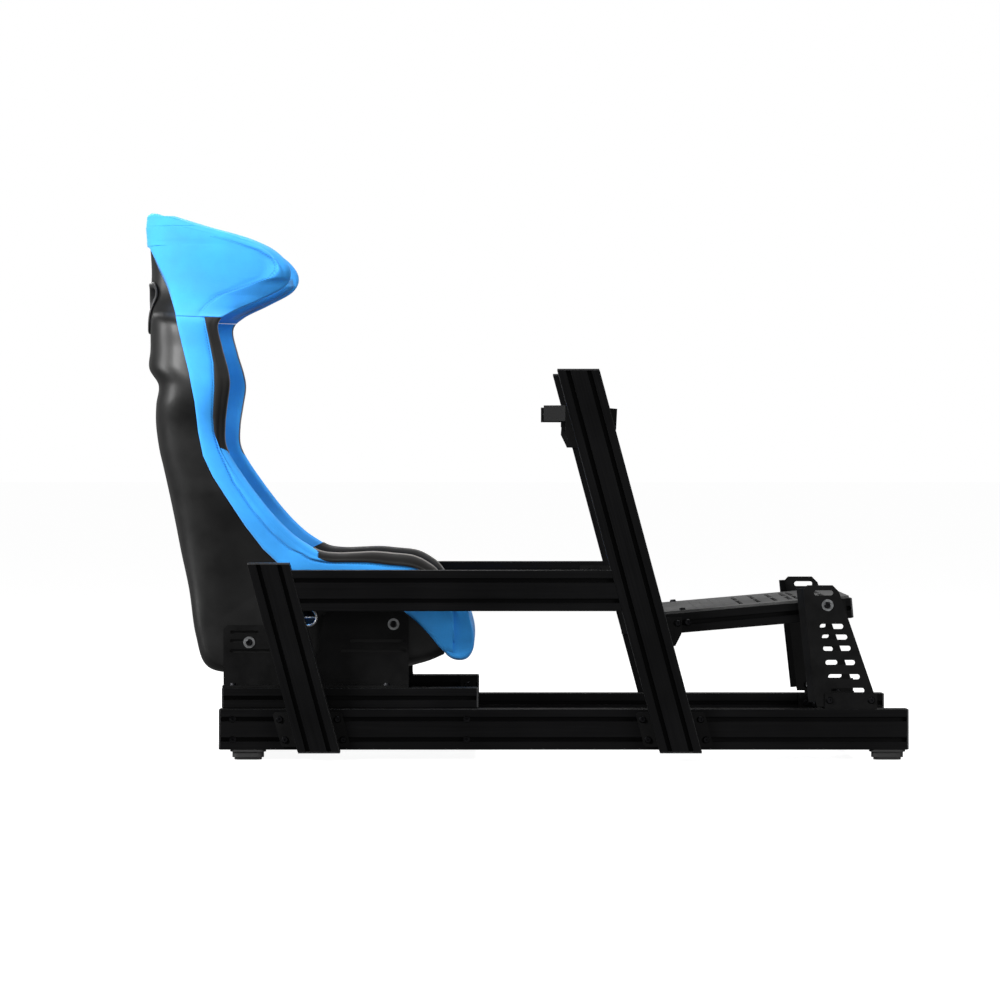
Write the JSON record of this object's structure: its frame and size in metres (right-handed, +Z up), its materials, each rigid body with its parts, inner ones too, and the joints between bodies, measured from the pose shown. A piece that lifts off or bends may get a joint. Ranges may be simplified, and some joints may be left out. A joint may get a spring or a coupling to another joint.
{
  "type": "sim racing cockpit with bucket seat",
  "caption": "Bucket racing seat with head wings on a frame of T-slot extrusions, with a height-adjustable wheel mount and a sliding pedal deck.",
  "frame": {"origin": "on the floor, at the middle of the overall length and width", "axes": "+X is the way the driver faces, +Y the driver's left, +Z up"},
  "size_m": [1.519, 0.67, 1.077],
  "materials": {
    "anodised_black": "satin black anodised extrusion, fine die lines along its length",
    "black_plastic": "moulded, matt",
    "rubber": "matt, ribbed",
    "black_powder_coat": "fine textured powder coat",
    "pedal_plate_finish": "satin dark grey coat",
    "black_screws": "black oxide",
    "zinc": "bright zinc plate",
    "shell_black": "semi-gloss gel coat over glass fibre",
    "blue_fabric": "tight sky-blue knit cover, sewn seams",
    "black_fabric": "black knit cover with a pale piping"
  },
  "bodies": {
    "frame": {"base_rail_left": "anodised_black", "base_rail_right": "anodised_black", "beam_joint_plates": "black_powder_coat", "cross_member_bolts": "black_screws", "cross_members": "anodised_black", "double_end_caps": "black_plastic", "foot_plates": "black_powder_coat", "frame_angles": "black_powder_coat", "frame_bolts": "black_screws", "frame_t_nuts": "zinc", "front_upright_left": "anodised_black", "front_upright_right": "anodised_black", "pedal_cross_bars": "anodised_black", "pedal_deck_bolts": "black_screws", "pedal_deck_brackets": "black_powder_coat", "pedal_deck_rail_left": "anodised_black", "pedal_deck_rail_right": "anodised_black", "pedal_foot_angles": "black_powder_coat", "pedal_foot_nuts": "zinc", "pedal_side_plate_left": "black_powder_coat", "pedal_side_plate_right": "black_powder_coat", "pedal_side_washers": "zinc", "pedal_spacers": "zinc", "rear_upright_left": "anodised_black", "rear_upright_right": "anodised_black", "rubber_feet": "rubber", "seat_rail_left": "anodised_black", "seat_rail_right": "anodised_black", "side_beam_left": "anodised_black", "side_beam_right": "anodised_black", "single_end_caps": "black_plastic", "upright_screws": "black_screws"},
    "seat": {"seat_shell": "shell_black", "belt_slot_trims": "black_plastic", "headrest_cushion": "blue_fabric", "back_cushion": "blue_fabric", "head_wing_pads": "blue_fabric", "torso_bolster_left": "black_fabric", "torso_bolster_right": "black_fabric", "thigh_bolsters": "black_fabric", "seat_cushion": "blue_fabric", "front_roll": "blue_fabric", "seat_bracket_left": "black_powder_coat", "seat_bracket_right": "black_powder_coat", "seat_bolts": "black_screws", "seat_side_washers": "zinc", "seat_side_nuts": "zinc", "seat_spacers": "zinc", "seat_slide_t_nuts": "zinc"},
    "wheel_carriage": {"wheel_arm_left": "black_powder_coat", "wheel_arm_right": "black_powder_coat", "wheel_arm_bolts": "black_screws", "wheel_arm_t_nuts": "zinc", "wheel_tilt_studs": "black_screws", "wheel_tilt_nuts": "zinc"},
    "wheel_tray": {"wheel_plate": "black_powder_coat"},
    "pedal_tray": {"pedal_plate": "pedal_plate_finish", "pedal_plate_bolts": "black_screws", "pedal_plate_t_nuts": "zinc"}
  },
  "joints": [
    {"name": "seat_slide", "type": "slide", "parent": "frame", "child": "seat", "axis": [1, 0, 0], "range_m": [0, 0.12]},
    {"name": "wheel_height", "type": "slide", "parent": "frame", "child": "wheel_carriage", "axis": [-0.2588, 0, 0.9659], "range_m": [-0.2, 0.06]},
    {"name": "wheel_tilt", "type": "hinge", "parent": "wheel_carriage", "child": "wheel_tray", "pos_m": [0.15, 0, 0.662], "axis": [0, 1, 0], "range_deg": [-12, 12]},
    {"name": "pedal_slide", "type": "slide", "parent": "frame", "child": "pedal_tray", "axis": [0.9962, 0, 0.0872], "range_m": [-0.025, 0.04]}
  ]
}
